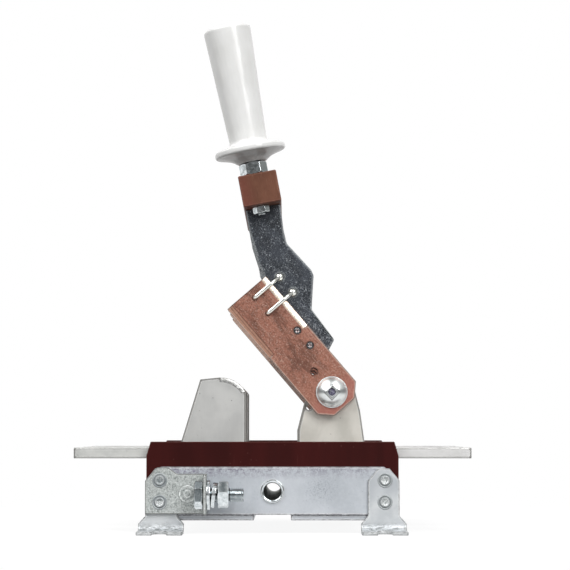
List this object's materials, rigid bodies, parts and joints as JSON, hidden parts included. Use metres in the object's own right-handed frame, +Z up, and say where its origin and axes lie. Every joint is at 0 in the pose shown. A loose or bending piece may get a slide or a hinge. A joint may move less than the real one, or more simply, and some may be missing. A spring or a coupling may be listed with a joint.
{
  "type": "three-pole knife-switch disconnector",
  "caption": "Low-voltage disconnector: copper knives on a shared cross beam with a side handle swing into fixed contact posts on an insulating frame.",
  "frame": {"origin": "on the floor under the middle of the frame", "axes": "+X along the contacts from the jaw terminals to the hinge terminals, +Y across the poles away from the handle, +Z up"},
  "size_m": [0.273, 0.2436, 0.3525],
  "materials": {
    "zinc_plate": "zinc plated sheet",
    "zinc_feet": "zinc plated bent sheet",
    "zinc_fasteners": "bright zinc plated",
    "zinc_bracket": "mottled zinc plated",
    "red_insulation": "smooth dark red moulding",
    "tinned_copper": "tin plated copper",
    "copper": "bare copper, handled",
    "dark_steel": "blackened steel with light specks",
    "bright_steel": "polished plated steel",
    "spring_wire": "bright spring wire",
    "brown_laminate": "sawn cloth laminate",
    "pale_plastic": "smooth pale moulding"
  },
  "bodies": {
    "frame": {"beam_screws": "zinc_fasteners", "contact_screws": "zinc_fasteners", "cross_channel_left": "zinc_plate", "cross_channel_right": "zinc_plate", "earth_bolt": "zinc_fasteners", "earth_bracket": "zinc_bracket", "earth_nut": "zinc_fasteners", "earth_spring_washer": "zinc_fasteners", "earth_washer": "zinc_fasteners", "foot_front_left": "zinc_feet", "foot_front_right": "zinc_feet", "foot_rear_left": "zinc_feet", "foot_rear_right": "zinc_feet", "frame_rivets_front": "zinc_fasteners", "frame_rivets_rear": "zinc_fasteners", "hinge_post_1": "tinned_copper", "hinge_post_2": "tinned_copper", "hinge_post_3": "tinned_copper", "hinge_terminal_1": "tinned_copper", "hinge_terminal_2": "tinned_copper", "hinge_terminal_3": "tinned_copper", "insulating_beam_left": "red_insulation", "insulating_beam_right": "red_insulation", "insulating_panel_front": "red_insulation", "insulating_panel_rear": "red_insulation", "jaw_post_1": "tinned_copper", "jaw_post_2": "tinned_copper", "jaw_post_3": "tinned_copper", "jaw_terminal_1": "tinned_copper", "jaw_terminal_2": "tinned_copper", "jaw_terminal_3": "tinned_copper", "side_plate_front": "zinc_plate", "side_plate_rear": "zinc_plate", "tie_tube": "zinc_fasteners"},
    "blades": {"knives_1": "copper", "knives_2": "copper", "knives_3": "copper", "lever_arm_1": "dark_steel", "lever_arm_2": "dark_steel", "lever_arm_3": "dark_steel", "pivot_pin_1": "bright_steel", "pivot_pin_2": "bright_steel", "pivot_pin_3": "bright_steel", "blade_rivets": "zinc_fasteners", "spring_clips": "spring_wire", "cross_beam": "brown_laminate", "beam_pins": "zinc_fasteners", "handle": "pale_plastic", "handle_stud": "zinc_fasteners", "stud_nut": "zinc_fasteners"}
  },
  "joints": [
    {"name": "blade_swing", "type": "hinge", "parent": "frame", "child": "blades", "pos_m": [0.0409, 0, 0.0963], "axis": [0, -1, 0], "range_deg": [-40.6, 49.4]}
  ]
}
